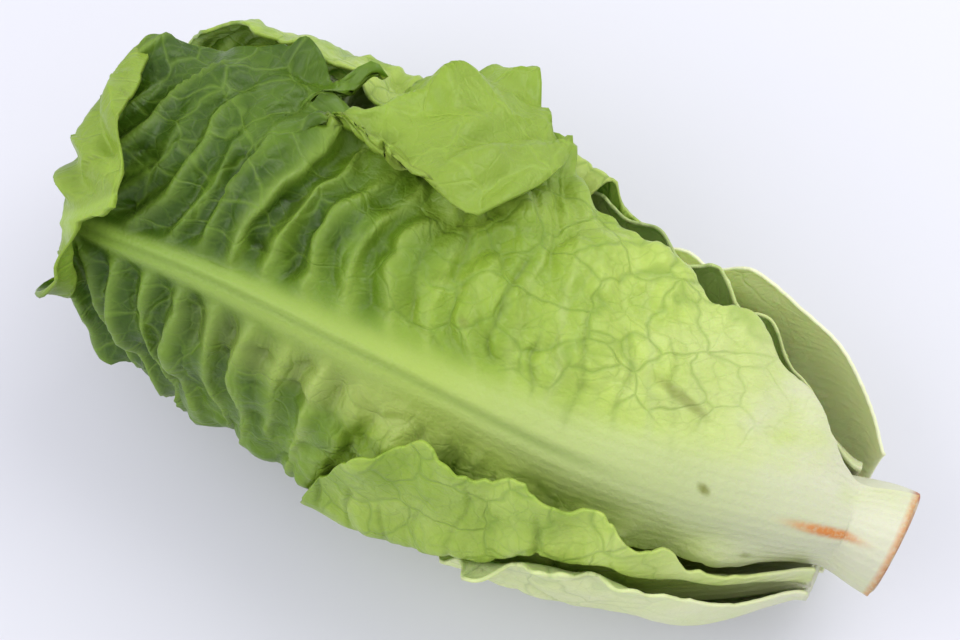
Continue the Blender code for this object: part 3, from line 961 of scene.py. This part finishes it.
def leaf_material(leaf):
    nodes = Nodes(leaf.name + "_finish")
    flat = nodes.flat()
    veins = vein_furrows(nodes, flat)
    rib = nodes.ramp(nodes.fact("along"), RIB_COLOURS)
    colour = nodes.ramp(blade_green(nodes, flat), BLADE_COLOURS)
    layers = (
        (nodes.fact("vein"), leaf.vein_tint, rib),
        # The vein furrows darken as painted shade
        (veins, 0.5, FURROW_SHADE_COLOUR),
        # The blister borders darken as painted shade
        (nodes.fact("net"), 0.12, NET_SHADE_COLOUR),
        (nodes.fact("rib"), 0.9, rib),
        # The creases darken as painted shade
        (nodes.fact("crease"), 0.45, CREASE_SHADE_COLOUR),
        (nodes.fact("turned"), 0.5, TURNED_COLOUR),
    )
    for value, strength, over in layers:
        colour = nodes.mix(nodes.scaled(value, strength), colour, over)
    # Mixing towards the pale colour is partly the leaf's own tone and partly painted light
    colour = nodes.mix(leaf.pale, colour, PALE_AND_LIT_COLOUR)
    if leaf.marked:
        colour = top_leaf_colour(nodes, colour, flat)
    nodes.flesh(colour, 0.4, (0.6, 1.0, 0.25), 0.0025)
    nodes.shader.inputs["Specular IOR Level"].default_value = 0.25
    nodes.shader.inputs["Coat Weight"].default_value = 0.06
    nodes.shader.inputs["Coat Roughness"].default_value = 0.25
    grain = nodes.math("ADD", nodes.noise(0.9, 4.0, flat), nodes.scaled(nodes.noise(0.25, 3.0, flat), 1.5))
    nodes.bump(nodes.math("SUBTRACT", grain, nodes.scaled(veins, 0.9)), 0.5, 0.0005)
    return nodes.material


def stem_material():
    nodes = Nodes("stem_finish")
    patch = nodes.scaled(nodes.math("SUBTRACT", nodes.noise(130.0, 5.0), 0.42), 4.0, clamp=True)
    brown = nodes.math("ADD", nodes.scaled(patch, 0.75), 0.3)
    cut = nodes.scaled(nodes.fact("cut"), brown, clamp=True)
    nodes.flesh(nodes.mix(cut, STEM_COLOUR, CUT_COLOUR), 0.45, (1.0, 0.9, 0.6), 0.002)
    nodes.bump(nodes.noise(500.0, 3.0), 0.3, 0.0004)
    return nodes.material


def leaf_piece(order, shift):
    leaf = LEAVES[order]
    inner, outer, flat, facts = leaf_sheet(order)
    points, faces = closed_sheet(inner, outer)
    points[:, 2] = on_floor(points[:, 2])
    facts = {**facts, "flat_s": flat[0], "flat_across": flat[1]}
    facts = {name: np.concatenate([value.ravel(), value.ravel()]) for name, value in facts.items()}
    piece = add_object(leaf.name + "_skin", points + shift, faces, facts, leaf_material(leaf))
    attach(piece, "root")
    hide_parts(leaf.name)


def stem_rings():
    """The stem's rings of points, from the middle of the cut face to its inner end."""
    places = np.concatenate([np.zeros(CUT_RINGS), [0.25], np.linspace(1, STEM_LENGTH, STEM_RINGS)])
    radius = through(STEM_RADIUS, places)
    radius[:CUT_RINGS] = (BUTT_RADIUS - 0.5) * np.linspace(0.02, 1, CUT_RINGS)
    radius[CUT_RINGS] = BUTT_RADIUS - 0.15
    angle = np.linspace(0, 2 * math.pi, STEM_SIDES, endpoint=False)
    s = np.repeat(places[:, None], STEM_SIDES, axis=1)
    return s, angle[None, :] + 0 * s, radius[:, None] + 0 * s


def stem_piece(shift):
    s, angle, radius = stem_rings()
    rings = head_points(s, angle, radius)
    count = rings.shape[0]
    index = np.arange(count * STEM_SIDES).reshape(count, STEM_SIDES)
    after = np.roll(index, -1, axis=1)
    a, b, c, d = index[:-1].ravel(), after[:-1].ravel(), after[1:].ravel(), index[1:].ravel()
    faces = np.concatenate([np.stack([a, b, c], 1), np.stack([a, c, d], 1)])
    points = np.concatenate([rings.reshape(-1, 3), [rings[0].mean(axis=0), rings[-1].mean(axis=0)]])
    first, last = len(points) - 2, len(points) - 1
    caps = [np.stack([np.full(STEM_SIDES, first), after[0], index[0]], 1)]
    caps.append(np.stack([np.full(STEM_SIDES, last), index[-1], after[-1]], 1))
    faces = np.concatenate([faces, *caps])
    cut = np.concatenate([(1 - eased((s - CUT_FROM) / CUT_DEPTH)).ravel(), [1.0, 0.0]])
    piece = add_object("stem_skin", points + shift, faces, {"cut": cut}, stem_material())
    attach(piece, "root")
    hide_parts("stem")


def stem_shift():
    """How far the solids were moved to centre them, in millimetres."""
    own = head_points(*stem_rings()).reshape(-1, 3)
    low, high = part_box("stem")
    middle = (np.array(low) + np.array(high)) / 2 / METRE
    shift = middle - (own.min(axis=0) + own.max(axis=0)) / 2
    shift[2] = 0
    return shift


def add_floor():
    bpy.ops.mesh.primitive_plane_add(size=FLOOR_SIZE)
    floor = bpy.context.object
    floor.name = "floor"
    nodes = Nodes("floor_finish")
    nodes.shader.inputs["Base Color"].default_value = (*FLOOR_COLOUR, 1)
    nodes.shader.inputs["Roughness"].default_value = 0.6
    floor.data.materials.append(nodes.material)


def add_light(name, place, size, power):
    data = bpy.data.lights.new(name, "AREA")
    data.energy = power
    data.size = size
    light = bpy.data.objects.new(name, data)
    light.location = place
    light.rotation_euler = (Vector(CAMERA_TARGET) - Vector(place)).to_track_quat("-Z", "Y").to_euler()
    bpy.context.collection.objects.link(light)


def add_lights():
    world = bpy.data.worlds.new("studio")
    world.use_nodes = True
    background = world.node_tree.nodes["Background"]
    background.inputs["Color"].default_value = (*WORLD_COLOUR, 1)
    background.inputs["Strength"].default_value = WORLD_STRENGTH
    bpy.context.scene.world = world
    for light in LIGHTS:
        add_light(*light)


def add_camera():
    data = bpy.data.cameras.new("camera")
    data.lens = CAMERA_LENS
    camera = bpy.data.objects.new("camera", data)
    flat = math.cos(CAMERA_ELEVATION)
    forward = Vector(
        (math.sin(CAMERA_AZIMUTH) * flat, math.cos(CAMERA_AZIMUTH) * flat, -math.sin(CAMERA_ELEVATION))
    )
    camera.location = Vector(CAMERA_TARGET) - forward * CAMERA_DISTANCE
    camera.rotation_euler = forward.to_track_quat("-Z", "Y").to_euler()
    bpy.context.collection.objects.link(camera)
    bpy.context.scene.camera = camera


def main():
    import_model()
    bpy.context.scene.view_settings.view_transform = "Standard"
    shift = stem_shift()
    for order in range(len(LEAVES)):
        leaf_piece(order, shift)
    stem_piece(shift)
    add_floor()
    add_lights()
    add_camera()


main()
